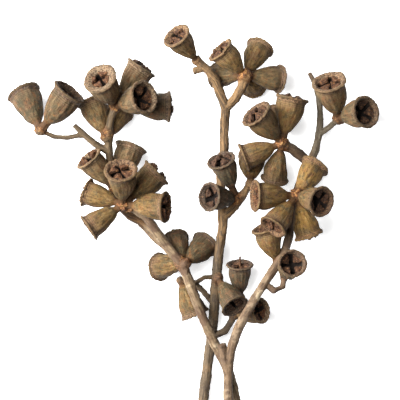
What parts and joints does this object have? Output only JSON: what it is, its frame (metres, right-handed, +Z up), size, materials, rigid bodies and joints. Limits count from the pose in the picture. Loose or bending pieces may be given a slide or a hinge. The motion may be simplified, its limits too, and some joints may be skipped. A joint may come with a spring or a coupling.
{
  "type": "bunch of dried eucalyptus",
  "caption": "Three dried eucalyptus branches that lie together, with forked woody stems and clusters of bell-shaped seed capsules.",
  "frame": {"origin": "on the surface that the bunch lies on, under the middle of its bounding box", "axes": "+Y from the cut ends towards the tips, +Z up from the surface, +X to the right when seen from above with the tips away from the viewer"},
  "size_m": [0.2212, 0.2896, 0.0564],
  "materials": {
    "left_stem": "pale dry bark",
    "middle_stem": "dark dry bark",
    "right_stem": "brown dry bark",
    "capsule": "matt wrinkled husk"
  },
  "bodies": {
    "root": {"left_branch": "left_stem", "middle_branch": "middle_stem", "right_branch": "right_stem", "left_tip_capsule_1": "capsule", "left_tip_capsule_2": "capsule", "left_top_capsule_1": "capsule", "left_top_capsule_2": "capsule", "left_top_capsule_3": "capsule", "left_top_capsule_4": "capsule", "left_neck_capsule_1": "capsule", "left_neck_capsule_2": "capsule", "left_middle_capsule_1": "capsule", "left_middle_capsule_2": "capsule", "left_middle_capsule_3": "capsule", "left_middle_capsule_4": "capsule", "left_middle_capsule_5": "capsule", "left_back_capsule_1": "capsule", "left_back_capsule_2": "capsule", "left_low_capsule_1": "capsule", "left_low_capsule_2": "capsule", "left_low_capsule_3": "capsule", "middle_tip_capsule_1": "capsule", "middle_top_capsule_1": "capsule", "middle_top_capsule_2": "capsule", "middle_top_capsule_3": "capsule", "middle_top_capsule_4": "capsule", "middle_top_capsule_5": "capsule", "middle_side_capsule_1": "capsule", "middle_side_capsule_2": "capsule", "middle_arm_capsule_1": "capsule", "middle_low_capsule_1": "capsule", "middle_node_capsule_1": "capsule", "middle_spur_capsule_1": "capsule", "middle_thin_capsule_1": "capsule", "right_left_top_capsule_1": "capsule", "right_left_top_capsule_2": "capsule", "right_left_top_capsule_3": "capsule", "right_left_top_capsule_4": "capsule", "right_left_top_capsule_5": "capsule", "right_middle_capsule_1": "capsule", "right_middle_capsule_2": "capsule", "right_middle_capsule_3": "capsule", "right_middle_capsule_4": "capsule", "right_middle_capsule_5": "capsule", "right_bend_capsule_1": "capsule", "right_hook_capsule_1": "capsule", "right_tip_capsule_1": "capsule", "right_tip_capsule_2": "capsule"}
  },
  "joints": []
}
